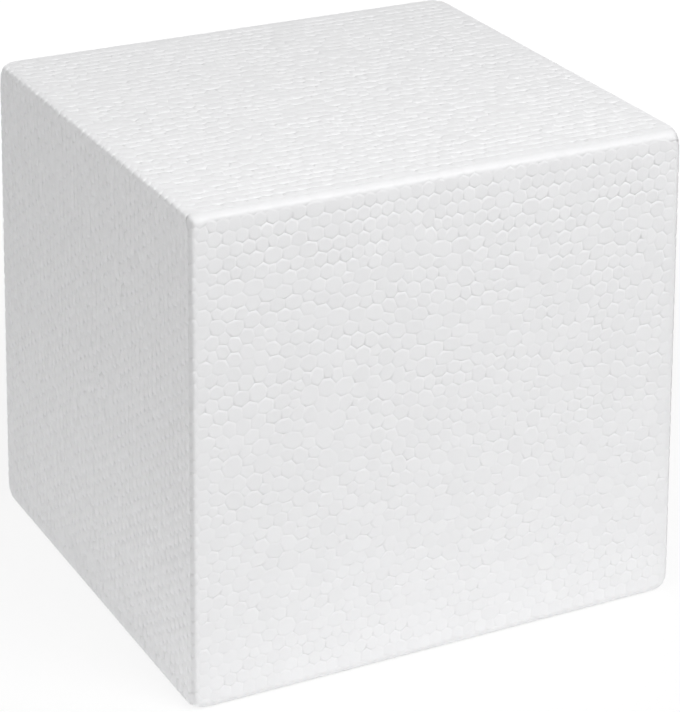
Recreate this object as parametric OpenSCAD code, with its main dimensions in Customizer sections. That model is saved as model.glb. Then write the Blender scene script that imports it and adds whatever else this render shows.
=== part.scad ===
// Foam block: a near cube moulded in one piece from expanded polystyrene beads.
// Its sides lean in a little towards the top, so that it leaves its mould. Every
// edge is rounded, and the corners are blunter still, as the beads don't quite
// fill the corners of the mould. It stands on its base with the middle of the
// base at the origin, +Z up and its front towards -Y. All sizes are in mm.

/* [Block] */
// Width across the base, left to right
base_w = 162.5; // [90:0.5:320]
// Depth across the base, front to back
base_d = 151.5; // [90:0.5:320]
// Height from the base to the top
block_h = 151.5; // [60:0.5:320]
// Lean of each side, in degrees
draft = 1.2; // [0:0.1:4]
// Radius that rounds every edge
edge_r = 2.2; // [1:0.1:12]
// How far each corner is blunted, measured along the edges that meet there
corner_blunt = 1.6; // [0:0.1:8]

/* [Filler mark] */
// Diameter of the round mark where the beads were blown into the mould
filler_d = 14; // [6:1:30]
// Depth of that mark in the base, so that the block still stands flat
filler_depth = 0.4; // [0.1:0.1:2]

/* [Hidden] */
foam_white = "#f1f1ef";
ball_fn = 32;     // facets round a corner ball
mark_fn = 64;     // facets round the filler mark
cut_clear = 1;    // how far a cut starts outside the foam

// A ball's flats, not its points, touch the faces of the block
ball_r = edge_r / cos(180 / ball_fn);

// The ways that a corner's three balls are moved back, one along each edge
ball_moves = [[1, 0, 0], [0, 1, 0], [0, 0, 1]] * corner_blunt;

// Distance from the middle plane to a ball's centre at height z, for two
// opposite sides that are base_size apart at the base
function ball_offset(base_size, z) =
    base_size / 2 - z * tan(draft) - edge_r / cos(draft);

// Height of the centre of a ball that is moved by back, at the base or the top
function ball_height(side, back) =
    block_h / 2 + side * (block_h / 2 - edge_r - back);

// Three balls in each of the eight corners
module corner_balls() {
    for (x = [-1, 1], y = [-1, 1], side = [-1, 1], move = ball_moves) {
        z = ball_height(side, move[2]);
        translate([x * (ball_offset(base_w, z) - move[0]),
                   y * (ball_offset(base_d, z) - move[1]), z])
            sphere(r = ball_r, $fn = ball_fn);
    }
}

module filler_mark() {
    translate([0, 0, -cut_clear])
        cylinder(h = cut_clear + filler_depth, d = filler_d, $fn = mark_fn);
}

module block() {
    color(foam_white)
        difference() {
            hull() corner_balls();
            filler_mark();
        }
}

block();
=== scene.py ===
import math

import bpy
import numpy as np
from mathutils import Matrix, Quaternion, Vector
from mathutils.geometry import delaunay_2d_cdt


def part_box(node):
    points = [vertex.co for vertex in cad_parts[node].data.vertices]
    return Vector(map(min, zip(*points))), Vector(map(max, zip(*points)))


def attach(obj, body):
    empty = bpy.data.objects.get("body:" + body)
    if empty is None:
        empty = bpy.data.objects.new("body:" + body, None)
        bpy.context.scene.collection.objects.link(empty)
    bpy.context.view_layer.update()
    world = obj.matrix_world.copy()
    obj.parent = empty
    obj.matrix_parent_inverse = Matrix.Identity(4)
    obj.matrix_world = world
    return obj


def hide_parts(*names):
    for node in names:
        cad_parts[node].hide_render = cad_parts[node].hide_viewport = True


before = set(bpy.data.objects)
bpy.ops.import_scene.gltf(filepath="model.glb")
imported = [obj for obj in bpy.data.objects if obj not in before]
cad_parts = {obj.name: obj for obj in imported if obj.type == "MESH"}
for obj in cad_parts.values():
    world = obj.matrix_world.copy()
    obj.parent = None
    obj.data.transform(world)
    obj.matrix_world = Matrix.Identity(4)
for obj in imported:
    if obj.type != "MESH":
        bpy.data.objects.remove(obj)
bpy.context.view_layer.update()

blockLow, blockHigh = [np.array(corner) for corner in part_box("block")]
mm = 0.001


# A colour's channels go from 0-255 to linear light, with full alpha.
def srgb(hexColour):
    parts = [int(hexColour[i:i + 2], 16) / 255 for i in (1, 3, 5)]
    return [c / 12.92 if c <= 0.04045 else ((c + 0.055) / 1.055) ** 2.4 for c in parts] + [1.0]


# Adds one node: its settings by name, and a link or a value for each input, by name or number.
def addNode(tree, kind, settings=None, inputs=None):
    node = tree.nodes.new(kind)
    for name, value in (settings or {}).items():
        setattr(node, name, value)
    for name, value in (inputs or {}).items():
        if isinstance(value, bpy.types.NodeSocket):
            tree.links.new(value, node.inputs[name])
        else:
            node.inputs[name].default_value = value
    return node


# An empty material that uses nodes, and its node tree.
def newMaterial(name):
    material = bpy.data.materials.new(name)
    material.use_nodes = True
    material.node_tree.nodes.clear()
    return material, material.node_tree


# A point at an angle and height angle round a place; angle 0 is in front, -90 to the left.
def around(aim, azimuth, elevation, distance):
    a, e = math.radians(azimuth), math.radians(elevation)
    way = Vector((math.sin(a) * math.cos(e), -math.cos(a) * math.cos(e), math.sin(e)))
    return Vector(aim) + way * distance


# The block's skin. Beads of polystyrene are blown into the mould and swell against its walls, so
# each one ends in a flat with a rounded rim, and a groove runs between neighbours. Where a setting
# has three values, they are for the sides, for the front and back, and for the top and base; but
# crossing and turning go by the edges along x, y and z, and leaning by the axes.
beadedBlock = {
    "edgeRadius": 2.2 * mm,              # rounds every edge of the block
    "cornerBlunt": 1.6 * mm,             # how far the corners are blunted along their edges
    "bluntReach": 6 * mm,                # distance from a corner over which that comes in
    "draft": 1.2,                        # lean of the sides, degrees
    "beadSpacing": 3.85 * mm,            # from bead to bead along a row
    "rowSpacing": (0.78, 0.96, 0.87),    # from row to row, in bead spacings
    "firstRow": (0.98, 0.55),            # first row from level and upright edges, in bead spacings
    "endRows": 1,                        # rows along the two edges that the main rows run into
    "strayAlong": (0.16, 0.45),          # how far beads stray along their row, near an edge and inland
    "strayAcross": (0.03, 0.22),         # and across it, in bead spacings
    "strayShare": 0.5,                   # standard deviation of the straying, as a share of that
    "disorder": (0.6, 1.8, 1.2),         # how much of that straying each pair of faces has
    "orderDepth": 9,                     # number of rows over which they lose their order
    "closest": 0.55,                     # nearest that two beads may lie at first, in bead spacings
    "settling": 2,                       # rounds of evening out
    "straightness": (0.86, 0.25, 0.85),  # how far the grooves between rows come to run straight
    "rim": (1.1, 0.7, 0.9),              # width of a bead's rounded rim, mm
    "widestRim": 0.45,                   # most of a bead's half width that its rim may take
    "rimSlope": (8, 30),                 # how steep rims shade at the flat and at the groove, degrees
    "steepness": (1.9, 0.76, 0.9),       # how much of that slope each pair of faces has
    "strongest": 1.6,                    # most that a groove's own strength may multiply it by
    "steepest": 56,                      # no rim's slope goes beyond this, degrees
    "alongRow": (0.36, 0.35, 0.5),       # share of it that is left between beads of the same row
    "crown": (8.5, 1.5, 4.0),            # how far the flats round off towards their rims, degrees
    "groove": 0.22 * mm,                 # depth of the grooves
    "grooveShare": (0.25, 1.75),         # least and most of that depth from place to place
    "besideEdges": 0.6,                  # share of it round the beads on the block's edges
    "crossing": (0.2, 1.2, 0.8),         # share of it where a groove crosses an edge
    "leaning": (1.8, 1.0, 2.0),          # on the rounding, how strongly the normals lean along each axis
    "turning": (1.0, 2.5, 2.5),          # how sharply they turn over each kind of edge
    "uneven": 0.03 * mm,                 # how far a bead's flat may lie under the mould's face
    "tilt": 0.8,                         # how far a bead's flat may lean, degrees
    "fillerRadius": 7.0 * mm,            # round mark under the block, where the beads were blown in
    "fillerDepth": 0.4 * mm,             # depth of that mark
    "fillerClear": 1.2,                  # nearest that other beads come to its rim, in bead spacings
    "seed": 11,
}

dice = np.random.default_rng(beadedBlock["seed"])
radius = beadedBlock["edgeRadius"]
spacing = beadedBlock["beadSpacing"]
taper = math.tan(math.radians(beadedBlock["draft"]))
middleHeight = (blockLow[2] + blockHigh[2]) / 2
coincide = 1e-6              # places closer than this are the same, in metres

# half sizes inside the rounding, and half sizes measured along the skin
core = np.array([blockHigh[0], blockHigh[1], blockHigh[2] - middleHeight]) - radius
unrolled = core + radius * math.pi / 4

# each face's outward axis and side, then the directions of its own u and v
faceFrames = [
    (2, 1, (1, 0, 0), (0, 1, 0)), (2, -1, (1, 0, 0), (0, -1, 0)),
    (0, 1, (0, 1, 0), (0, 0, 1)), (0, -1, (0, -1, 0), (0, 0, 1)),
    (1, 1, (-1, 0, 0), (0, 0, 1)), (1, -1, (1, 0, 0), (0, 0, 1)),
]

# the axis that crosses the main rows on each pair of faces
acrossRows = np.array([1, 2, 1])


# Half sizes of the core at each height; it narrows upwards by the draft.
def coreAt(height):
    return core - np.concatenate([(height + core[2]) * taper] * 2 + [height * 0], 1)


# The surface at each nearest core point: the point plus the radius along the normal, raised to
# stand on the base. Beads flatten against the mould on both sides of an edge, so the normals there
# keep to the faces and turn in between: each part is weighted and raised to the power for the edge,
# which is the one along the axis with the smallest part. The normal then leans up by the draft.
def surfaceAt(heart, normal):
    power = np.array(beadedBlock["turning"])[np.abs(normal).argmin(1)][:, None]
    leaning = np.sign(normal) * (np.abs(normal) * beadedBlock["leaning"]) ** power
    leaning /= np.linalg.norm(leaning, axis=1, keepdims=True)
    leaning[:, 2] += taper * np.abs(leaning[:, :2]).sum(1)
    place = heart + radius * normal + np.array([0, 0, middleHeight])
    return place, leaning / np.linalg.norm(leaning, axis=1, keepdims=True)


# Points close to a corner move back from it, most along the axis on which they stand out from the
# core least; the shift fades with the square of the distance. The evening keeps the shares finite.
def bluntCorners(places):
    flat = places - np.array([0, 0, middleHeight])
    beyond = np.abs(flat) - coreAt(np.clip(flat[:, 2:], -core[2], core[2]))
    near = np.clip(1 + beyond / beadedBlock["bluntReach"], 0, 1).prod(1, keepdims=True) ** 2
    evening = 0.1
    share = 1 / (np.maximum(beyond, 0) / radius + evening)
    share /= share.sum(1, keepdims=True)
    return places - np.sign(flat) * share * near * beadedBlock["cornerBlunt"]


# Skin points lie on a box whose sides are the face lengths measured along the surface. Past the
# core each coordinate becomes the radius times the tangent of its angle, 45 degrees at the box's
# edge. The normal runs from the nearest core point.
def roundOff(skin):
    angle = np.clip((np.abs(skin) - core) / radius, 0, math.pi / 4)
    flat = np.sign(skin) * (np.minimum(np.abs(skin), core) + radius * np.tan(angle))
    heart = np.clip(flat, -core, core)
    normal = flat - heart
    normal /= np.linalg.norm(normal, axis=1, keepdims=True)
    return surfaceAt(heart * coreAt(heart[:, 2:]) / core, normal)


# The nearest point of the rounded block to points close to one of its edges.
def pressOn(points):
    points = points - np.array([0, 0, middleHeight])
    depth = np.clip(points[:, 2:], -core[2], core[2])
    heart = np.clip(points, -coreAt(depth), coreAt(depth))
    normal = points - heart
    return surfaceAt(heart, normal / np.linalg.norm(normal, axis=1, keepdims=True))


# One bead on each corner, and evenly spaced ones with a little play along each edge.
def edgeSites():
    ends = np.array([-1, 1])
    found = [np.stack(np.meshgrid(ends, ends, ends), -1).reshape(-1, 3) * unrolled]
    for axis in range(3):
        others = [i for i in range(3) if i != axis]
        count = round(2 * unrolled[axis] / spacing)
        for pair in np.stack(np.meshgrid(ends, ends), -1).reshape(-1, 2):
            play = dice.normal(0, beadedBlock["strayShare"], count - 1)
            play = play * beadedBlock["strayAlong"][0] * spacing
            run = np.zeros((count - 1, 3))
            run[:, axis] = (np.arange(1, count) / count * 2 - 1) * unrolled[axis] + play
            run[:, others] = pair * unrolled[others]
            found.append(run)
    return np.concatenate(found)


# Main rows parallel to one pair of a face's edges, each half a bead out of step with the last, and
# end rows along the other two edges. They meet on the diagonals. Beads stray more, the further
# their row is from the edge. On an upright face u is level and v is upright.
def rowSites(half, axis):
    look = beadedBlock
    rowStep = look["rowSpacing"][axis] * spacing
    found = []
    for way in (0, 1):
        along, across = half[way], half[1 - way]
        first = look["firstRow"][int(axis < 2 and way == 1)] * spacing
        main = way == int(axis == 0)
        endFirst = look["firstRow"][int(axis < 2 and not main)] * spacing
        endDepth = endFirst + (look["endRows"] - 0.5) * rowStep
        count = round(2 * along / spacing)
        rows = np.arange(int(across / rowStep) + 1 if main else look["endRows"])
        row, column = [grid.ravel() for grid in np.meshgrid(rows, np.arange(-count, count + 1))]
        inset = first + row * rowStep
        x = (column + 0.5 * ((row + count) % 2 == 0)) * 2 * along / count
        loose = np.stack([np.interp(row, (0, look["orderDepth"]), look["strayAlong"]),
                          np.interp(row, (0, look["orderDepth"]), look["strayAcross"])], 1)
        keep = (np.abs(x) < along - np.minimum(inset, endDepth)) & (inset < across)
        for side in (-1, 1):
            stray = dice.normal(0, look["strayShare"], (len(x), 2)) * loose
            stray = stray * look["disorder"][axis] * spacing
            points = (np.stack([x, side * (across - inset)], 1) + stray)[keep]
            found.append(points[:, ::-1] if way else points)
    return np.concatenate(found)


# Of any two points nearer than the gap, the later one goes.
def thinOut(points, gap):
    apart = np.linalg.norm(points[:, None] - points[None], axis=2)
    return points[~np.triu(apart < gap, 1).any(0)]


# Rings of beads just outside and inside the filler mark, and three within.
def fillerSites():
    rim = beadedBlock["fillerRadius"]
    count = round(2 * math.pi * rim / spacing)
    turn = np.arange(count) * 2 * math.pi / count
    ring = np.stack([np.cos(turn), np.sin(turn)], 1)
    within = ring[::4] * spacing / 2
    return np.concatenate([ring * (rim + spacing / 2), ring * (rim - spacing / 2), within])


# Delaunay triangles of points in a plane, all turned anticlockwise, without slivers of no area.
def triangulate(points):
    merging, sliver = 1e-9, 1e-4
    result = delaunay_2d_cdt([Vector(p) for p in points.tolist()], [], [], 0, merging)
    triangles = np.array([first[0] for first in result[3]])[np.array(result[2])]
    a, b, c = (points[triangles[:, i]] for i in range(3))
    area = (b[:, 0] - a[:, 0]) * (c[:, 1] - a[:, 1]) - (b[:, 1] - a[:, 1]) * (c[:, 0] - a[:, 0])
    triangles[area < 0] = triangles[area < 0][:, ::-1]
    return triangles[np.abs(area) > sliver * spacing ** 2]


# Each free bead moves to the middle of the triangles round it, weighted by their areas.
def settle(points, free):
    for _ in range(beadedBlock["settling"]):
        triangles = triangulate(points)
        corners = points[triangles]
        area = np.abs(np.cross(corners[:, 1] - corners[:, 0], corners[:, 2] - corners[:, 0]))
        weighted = np.concatenate([corners.mean(1) * area[:, None], area[:, None]], 1)
        total = np.zeros((len(points), 3))
        np.add.at(total, triangles.ravel(), np.repeat(weighted, 3, axis=0))
        points = np.where(free[:, None], total[:, :2] / total[:, 2:], points)
    return points


# The beads' middles on the unrolled skin, and the triangles of three neighbours, all pointing out.
# Faces share the beads on their common edge.
def layBeads():
    sites, triangles = [edgeSites()], []
    total = len(sites[0])
    for axis, side, u, v in faceFrames:
        u, v = np.array(u), np.array(v)
        shared = np.flatnonzero(np.isclose(sites[0][:, axis], side * unrolled[axis]))
        border = sites[0][shared] @ np.stack([u, v], 1)
        rows = rowSites((abs(u) @ unrolled, abs(v) @ unrolled), axis)
        inner = thinOut(rows, beadedBlock["closest"] * spacing)
        free = np.ones(len(inner), bool)
        if (axis, side) == (2, -1):
            mark = fillerSites()
            clear = beadedBlock["fillerRadius"] + beadedBlock["fillerClear"] * spacing
            inner = inner[np.hypot(*inner.T) > clear]
            free = np.arange(len(inner) + len(mark)) < len(inner)
            inner = np.concatenate([inner, mark])
        free = np.concatenate([np.zeros(len(border), bool), free])
        points = settle(np.concatenate([border, inner]), free)
        numbers = np.concatenate([shared, total + np.arange(len(inner))])
        triangles.append(numbers[triangulate(points)])
        inner = points[len(border):]
        sites.append(inner @ np.stack([u, v]) + side * unrolled[axis] * np.eye(3)[axis])
        total += len(inner)
    return np.concatenate(sites), np.concatenate(triangles), len(sites[0])


# Where the groove between two edge beads runs over the block's edge, three points carry it round:
# the crossing on the edge itself, and halfway from there to the triangle's middle on each face.
def edgeCrossings(sites, triangles, middles):
    sides = np.concatenate([triangles[:, [0, 1]], triangles[:, [1, 2]], triangles[:, [2, 0]]])
    sides = np.sort(sides, 1)
    owner = np.tile(np.arange(len(triangles)), 3)
    along = np.abs(sites[sides[:, 0]] - sites[sides[:, 1]]) > coincide
    onEdge = (np.isclose(np.abs(sites), unrolled).sum(1) >= 2)[sides].all(1) & (along.sum(1) == 1)
    sides, owner, along = sides[onEdge], owner[onEdge], along[onEdge]
    order = np.lexsort((sides[:, 1], sides[:, 0]))
    sides, along = sides[order][::2], along[order][::2]
    one, other = owner[order][::2], owner[order][1::2]
    edge = sites[sides[:, 0]]
    inset = [np.where(along, 0, np.abs(middles[side] - edge)).sum(1, keepdims=True)
             for side in (one, other)]
    meeting = (middles[one] * inset[1] + middles[other] * inset[0]) / (inset[0] + inset[1])
    ridge = np.where(along, meeting, edge)
    carried = np.concatenate([(middles[one] + ridge) / 2, ridge, (middles[other] + ridge) / 2])
    return carried, np.tile(sides, (3, 1))


# Every bead's groove points in order round it: bead by bead, sorted by their angle about the
# bead's normal. follower gives the place of each one's next point.
def goRound(bead, localX, localY, beadCount):
    order = np.lexsort((np.arctan2(localY, localX), bead))
    size = np.bincount(bead, minlength=beadCount)
    start = np.concatenate([[0], np.cumsum(size)[:-1]])
    follower = np.arange(len(bead)) + 1
    follower[start + size - 1] = start
    return order, start, size, follower


# The block's mesh. A groove point lies under the surface by the groove's depth. A flat bead is one
# many-sided face, each corner a rim's width nearer the bead's middle than its groove point, on a
# plane that leans a little; quads join it to the groove. A bead on an edge or corner has a middle
# point and one more ring, all pressed onto the rounding. Real beads meet in a cleft that is finer
# than these quads, so the rims shade more steeply than they slope.
def buildBlock():
    look = beadedBlock
    sites, triangles, edgeCount = layBeads()
    middles = sites[triangles].mean(1)

    # grooves between rows zigzag round the beads; their points come towards the line halfway
    faceOf = np.isclose(np.abs(sites), unrolled)[triangles].all(1).argmax(1)
    each, crossAxis = np.arange(len(triangles)), acrossRows[faceOf]
    rowLine = (sites[triangles].max(1) + sites[triangles].min(1))[each, crossAxis] / 2
    pull = (rowLine - middles[each, crossAxis]) * np.array(look["straightness"])[faceOf]
    middles[each, crossAxis] += pull

    # triangles across the filler mark's rim have their middles moved onto it
    under = (np.abs(sites[:, 2] + unrolled[2]) < coincide)[triangles].all(1)
    inMark = (np.hypot(sites[:, 0], sites[:, 1]) < look["fillerRadius"]) & (sites[:, 2] < 0)
    inside = inMark[triangles].sum(1)
    onRim = under & (inside > 0) & (inside < 3)
    middles[onRim, :2] *= (look["fillerRadius"] / np.hypot(*middles[onRim, :2].T))[:, None]

    crossings, crossingSides = edgeCrossings(sites, triangles, middles)
    grooveSkin = np.concatenate([middles, crossings])

    # how strongly each groove point shows: less so round the edge beads, and over an edge by its kind
    strength = dice.uniform(*look["grooveShare"], len(grooveSkin))
    edgeAxis = np.abs(sites[crossingSides[:, 0]] - sites[crossingSides[:, 1]]).argmax(1)
    strength[:len(middles)][(triangles < edgeCount).any(1)] *= look["besideEdges"]
    strength[len(middles):] *= np.array(look["crossing"])[edgeAxis]
    depth = look["groove"] * strength
    depth[:len(middles)] += np.where(under & (inside > 0), look["fillerDepth"], 0)

    beadPlace, beadNormal = roundOff(sites)
    groovePlace, grooveNormal = roundOff(grooveSkin)

    # two directions on the skin at each bead, the first at right angles to its normal and to x or y
    xMost = 0.6        # a normal with less than this along x is well clear of x
    helper = np.where(np.abs(beadNormal[:, :1]) < xMost, [[1.0, 0, 0]], [[0, 1.0, 0]])
    across = np.cross(beadNormal, helper)
    across /= np.linalg.norm(across, axis=1, keepdims=True)
    up = np.cross(beadNormal, across)

    bead = np.concatenate([triangles.ravel(), crossingSides.ravel()])
    point = np.concatenate([np.repeat(np.arange(len(middles)), 3),
                            np.repeat(len(middles) + np.arange(len(crossings)), 2)])
    away = groovePlace[point] - beadPlace[bead]
    localX, localY = (away * across[bead]).sum(1), (away * up[bead]).sum(1)
    order, start, size, follower = goRound(bead, localX, localY, len(sites))
    bead, point, away = bead[order], point[order], away[order]
    localX, localY = localX[order], localY[order]

    # flats: lean, and dip enough that no corner stands above the mould's face
    lean = np.radians(look["tilt"]) * dice.uniform(-1, 1, (len(sites), 2)) / math.sqrt(2)
    reach = np.zeros(len(sites))
    np.maximum.at(reach, bead, np.hypot(localX, localY))
    dip = np.hypot(*lean.T) * reach + look["uneven"] * dice.random(len(sites))
    lean[:edgeCount] = 0
    dip[:edgeCount] = 0
    dip += np.where(inMark, look["fillerDepth"], 0)

    # each bead's ring of corners, a rim's width inside its groove points
    faceAxis = np.abs(grooveNormal[point]).argmax(1)
    rimWidth = np.array(look["rim"])[faceAxis] * mm
    keepShare = 1 - np.minimum(rimWidth / np.hypot(localX, localY), look["widestRim"])
    flatX, flatY = localX * keepShare, localY * keepShare
    drop = -dip[bead] - flatX * lean[bead, 0] - flatY * lean[bead, 1]
    ring = (beadPlace[bead] + across[bead] * flatX[:, None] + up[bead] * flatY[:, None]
            + beadNormal[bead] * drop[:, None])
    flatNormal = beadNormal + across * lean[:, :1] + up * lean[:, 1:]
    flatNormal /= np.linalg.norm(flatNormal, axis=1, keepdims=True)
    ringNormal = flatNormal[bead]

    onEdge = np.flatnonzero(bead < edgeCount)
    edgeMiddle, toRing = beadPlace[bead[onEdge]], away[onEdge] * keepShare[onEdge, None]
    ring[onEdge], ringNormal[onEdge] = pressOn(edgeMiddle + toRing)
    halfway, halfwayNormal = pressOn(edgeMiddle + toRing / 2)

    # the rim's normals: the surface's, turned outwards by the rim's slope, less so along the row
    outward = away - grooveNormal[point] * (away * grooveNormal[point]).sum(1, keepdims=True)
    outward /= np.linalg.norm(outward, axis=1, keepdims=True)
    crown = np.radians(np.array(look["crown"])[faceAxis] * (bead >= edgeCount))[:, None]
    ringNormal = ringNormal * np.cos(crown) + outward * np.sin(crown)
    alongRow = np.array(look["alongRow"])[faceAxis][:, None]
    turned = outward * (alongRow + (1 - alongRow) * np.eye(3)[acrossRows[faceAxis]])
    shown = np.minimum(strength[point], look["strongest"])
    steepness = np.array(look["steepness"])[faceAxis] * shown
    steep = np.radians(np.minimum(steepness[:, None] * look["rimSlope"], look["steepest"]))
    rimNormal = ringNormal * np.cos(steep[:, :1]) + turned * np.sin(steep[:, :1])
    wallNormal = grooveNormal[point] * np.cos(steep[:, 1:]) + turned * np.sin(steep[:, 1:])

    grooveCount, ringCount = len(groovePlace), len(ring)
    ringAt = grooveCount + np.arange(ringCount)
    halfwayAt = np.full(ringCount, -1)
    halfwayAt[onEdge] = grooveCount + ringCount + np.arange(len(onEdge))
    middleAt = grooveCount + ringCount + len(onEdge)
    bottom = groovePlace - grooveNormal * depth[:, None]
    places = bluntCorners(np.concatenate([bottom, ring, halfway, beadPlace[:edgeCount]]))

    # rims, then the edge beads' two inner rings, then the flats
    rims = np.stack([ringAt, point, point[follower], ringAt[follower]], 1)
    rimNormals = np.stack([rimNormal, wallNormal, wallNormal[follower], rimNormal[follower]], 1)
    middleNormal, after = beadNormal[bead[onEdge]], follower[onEdge]
    nextHalfway = halfwayNormal[np.searchsorted(onEdge, after)]
    bands = np.stack([halfwayAt[onEdge], ringAt[onEdge], ringAt[after], halfwayAt[after]], 1)
    bandNormals = np.stack([halfwayNormal, ringNormal[onEdge], ringNormal[after], nextHalfway], 1)
    fans = np.stack([middleAt + bead[onEdge], halfwayAt[onEdge], halfwayAt[after]], 1)
    fanNormals = np.stack([middleNormal, halfwayNormal, nextHalfway], 1)
    flats = np.arange(start[edgeCount], ringCount)

    corners = np.concatenate([rims.ravel(), bands.ravel(), fans.ravel(), ringAt[flats]])
    normals = np.concatenate([rimNormals.reshape(-1, 3), bandNormals.reshape(-1, 3),
                              fanNormals.reshape(-1, 3), ringNormal[flats]])
    normals /= np.linalg.norm(normals, axis=1, keepdims=True)
    sizes = np.concatenate([np.full(len(rims), 4), np.full(len(bands), 4), np.full(len(fans), 3),
                            size[edgeCount:]])
    owners = np.concatenate([bead, bead[onEdge], bead[onEdge], np.arange(edgeCount, len(sites))])

    mesh = bpy.data.meshes.new("beadedBlock")
    mesh.vertices.add(len(places))
    mesh.vertices.foreach_set("co", places.ravel())
    mesh.loops.add(len(corners))
    mesh.loops.foreach_set("vertex_index", corners.astype(np.int32))
    mesh.polygons.add(len(sizes))
    starts = np.concatenate([[0], np.cumsum(sizes)[:-1]])
    mesh.polygons.foreach_set("loop_start", starts.astype(np.int32))
    mesh.update(calc_edges=True)
    tone = mesh.attributes.new("beadTone", "FLOAT", "FACE")
    tone.data.foreach_set("value", dice.random(len(sites))[owners].astype(np.float32))
    mesh.polygons.foreach_set("use_smooth", np.ones(len(sizes), bool))
    mesh.normals_split_custom_set(normals.tolist())
    triangleCount = int((sizes - 2).sum())
    print("block:", len(sites), "beads,", len(sizes), "faces,", triangleCount, "triangles", flush=True)
    piece = bpy.data.objects.new("foamBlock", mesh)
    bpy.context.collection.objects.link(piece)
    return piece


block = buildBlock()
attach(block, "root")
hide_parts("block")

# Expanded polystyrene, steam moulded: air cells scatter all light, so it is a clean matt white.
# The mould leaves a thin closed skin with a faint satin gloss, and each bead shows its own tone.
foamFinish = {
    "lightBead": "#f2f2f3",
    "darkBead": "#efeff0",
    "roughness": 0.55,
    "ior": 1.5,
    "cellSize": 0.35 * mm,       # real cells are about 0.1 mm, too fine to show
    "cellHeight": 0.006 * mm,
    "waveSize": 2.0 * mm,        # slow unevenness of the skin
    "waveHeight": 0.010 * mm,
}


# Each bead's tone picks a colour between the two whites; the cells and the waves add up as bump.
def mouldedFoam():
    look = foamFinish
    material, tree = newMaterial("expandedPolystyreneMouldedSkin")
    place = addNode(tree, "ShaderNodeTexCoord").outputs["Object"]
    tone = addNode(tree, "ShaderNodeAttribute", {"attribute_name": "beadTone"}).outputs["Fac"]
    colour = addNode(tree, "ShaderNodeMix", {"data_type": "RGBA"},
                     {0: tone, 6: srgb(look["darkBead"]), 7: srgb(look["lightBead"])})
    cells = addNode(tree, "ShaderNodeTexVoronoi", {}, {"Vector": place, "Scale": 1 / look["cellSize"]})
    waves = addNode(tree, "ShaderNodeTexNoise", {},
                    {"Vector": place, "Scale": 1 / look["waveSize"], "Detail": 2.0})
    cellBump = addNode(tree, "ShaderNodeBump", {},
                       {"Strength": 1.0, "Distance": look["cellHeight"],
                        "Height": cells.outputs["Distance"]})
    waveBump = addNode(tree, "ShaderNodeBump", {},
                       {"Strength": 1.0, "Distance": look["waveHeight"], "Height": waves.outputs[0],
                        "Normal": cellBump.outputs["Normal"]})
    skin = addNode(tree, "ShaderNodeBsdfPrincipled", {},
                   {"Base Color": colour.outputs[2], "Roughness": look["roughness"],
                    "IOR": look["ior"], "Normal": waveBump.outputs["Normal"]})
    addNode(tree, "ShaderNodeOutputMaterial", {}, {"Surface": skin.outputs[0]})
    return material


block.data.materials.append(mouldedFoam())
print("foam material made", flush=True)

# The studio: a pale floor that looks white to the camera and fades to plain white further out, a
# pale sky, four soft lamps, and the light that the white table under the block throws back up.
# Lamps stand at an angle round the block, 0 in front and -90 to the left, and at a height angle.
studio = {
    "floorSize": 12.0,
    "floorColour": "#e7e7e7",
    "shadowShare": 0.2,          # how much of the floor's own shading shows near the block
    "fade": (0.16, 0.50),        # distances from the block's middle over which that fades out
    "floorWhite": 1.05,          # how white the floor looks there
    "sky": 0.36,                 # how strongly the sky lights the block
    "tableSize": 0.36,
    "tableHeight": 0.5 * mm,
    "tablePower": 0.116,
    "lamps": {
        "keyLamp": {"azimuth": 19, "elevation": 53, "distance": 1.0, "size": 0.45, "power": 5.5},
        "highLamp": {"azimuth": -60, "elevation": 60, "distance": 1.0, "size": 0.45, "power": 1.0},
        "sideLamp": {"azimuth": -75, "elevation": 30, "distance": 1.0, "size": 0.45, "power": 1.42},
        "backLamp": {"azimuth": 165, "elevation": 25, "distance": 1.5, "size": 0.6, "power": 0.4},
    },
}


# 1 for rays that come straight from the camera, a reflection or a clear body, and 0 for the rest.
def seenDirectly(tree):
    path = addNode(tree, "ShaderNodeLightPath")
    either = addNode(tree, "ShaderNodeMath", {"operation": "MAXIMUM"},
                     {0: path.outputs["Is Camera Ray"], 1: path.outputs["Is Glossy Ray"]})
    return addNode(tree, "ShaderNodeMath", {"operation": "MAXIMUM"},
                   {0: either.outputs[0], 1: path.outputs["Is Transmission Ray"]}).outputs[0]


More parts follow.
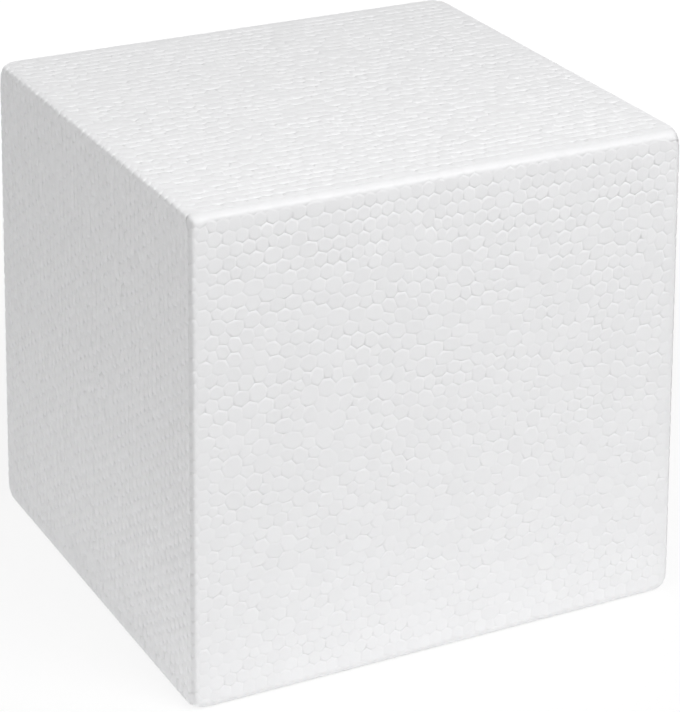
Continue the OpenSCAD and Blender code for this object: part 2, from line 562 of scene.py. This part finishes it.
# A square floor round the block; its own shading near the block, mixed with plain white further out.
def layFloor():
    half = studio["floorSize"] / 2
    mesh = bpy.data.meshes.new("floor")
    outline = [(-half, -half, 0), (half, -half, 0), (half, half, 0), (-half, half, 0)]
    mesh.from_pydata(outline, [], [(0, 1, 2, 3)])
    floor = bpy.data.objects.new("floor", mesh)
    bpy.context.collection.objects.link(floor)
    material, tree = newMaterial("paleStudioFloor")
    place = addNode(tree, "ShaderNodeTexCoord").outputs["Object"]
    away = addNode(tree, "ShaderNodeVectorMath", {"operation": "LENGTH"}, {0: place}).outputs["Value"]
    white = addNode(tree, "ShaderNodeMapRange", {"interpolation_type": "SMOOTHSTEP"},
                    {"Value": away, "From Min": studio["fade"][0], "From Max": studio["fade"][1],
                     "To Min": 1 - studio["shadowShare"], "To Max": 1.0}).outputs[0]
    share = addNode(tree, "ShaderNodeMath", {"operation": "MULTIPLY"}, {0: white, 1: seenDirectly(tree)})
    lit = addNode(tree, "ShaderNodeBsdfDiffuse", {}, {"Color": srgb(studio["floorColour"])})
    plain = addNode(tree, "ShaderNodeEmission", {}, {"Strength": studio["floorWhite"]})
    mixed = addNode(tree, "ShaderNodeMixShader", {},
                    {0: share.outputs[0], 1: lit.outputs[0], 2: plain.outputs[0]})
    addNode(tree, "ShaderNodeOutputMaterial", {}, {"Surface": mixed.outputs[0]})
    mesh.materials.append(material)
    return floor


# A square lamp, which the camera doesn't see itself.
def addLamp(name, size, power, place, turn):
    light = bpy.data.lights.new(name, "AREA")
    light.size, light.energy = size, power
    lamp = bpy.data.objects.new(name, light)
    lamp.location, lamp.rotation_euler = place, turn
    lamp.visible_camera = False
    bpy.context.collection.objects.link(lamp)


layFloor()

world = bpy.data.worlds.new("paleSky")
bpy.context.scene.world = world
world.use_nodes = True
world.node_tree.nodes.clear()
skyLevel = addNode(world.node_tree, "ShaderNodeMapRange", {},
                   {"Value": seenDirectly(world.node_tree), "To Min": studio["sky"], "To Max": 1.0})
sky = addNode(world.node_tree, "ShaderNodeBackground", {}, {"Strength": skyLevel.outputs[0]})
addNode(world.node_tree, "ShaderNodeOutputWorld", {}, {"Surface": sky.outputs[0]})

blockMiddle = (0, 0, middleHeight)
for name, lamp in studio["lamps"].items():
    place = around(blockMiddle, lamp["azimuth"], lamp["elevation"], lamp["distance"])
    turn = (Vector(blockMiddle) - place).to_track_quat("-Z", "Y").to_euler()
    addLamp(name, lamp["size"], lamp["power"], place, turn)
glowPlace = (0, 0, studio["tableHeight"])
addLamp("tableGlow", studio["tableSize"], studio["tablePower"], glowPlace, (math.pi, 0, 0))
print("studio set up", flush=True)

# The camera stands to the left of the front and looks a little down.
viewpoint = {
    "azimuth": -27.14,
    "elevation": 24.60,
    "distance": 0.8299,
    "aim": (1.59 * mm, -5.21 * mm, 67.21 * mm),
    "roll": 0.37,
    "lens": 134.9,
}
camera = bpy.data.objects.new("camera", bpy.data.cameras.new("camera"))
camera.data.lens = viewpoint["lens"]
camera.location = around(viewpoint["aim"], viewpoint["azimuth"], viewpoint["elevation"],
                         viewpoint["distance"])
level = (Vector(viewpoint["aim"]) - camera.location).to_track_quat("-Z", "Y")
camera.rotation_euler = (level @ Quaternion((0, 0, 1), math.radians(viewpoint["roll"]))).to_euler()
bpy.context.collection.objects.link(camera)
bpy.context.scene.camera = camera
bpy.context.scene.view_settings.view_transform = "Standard"
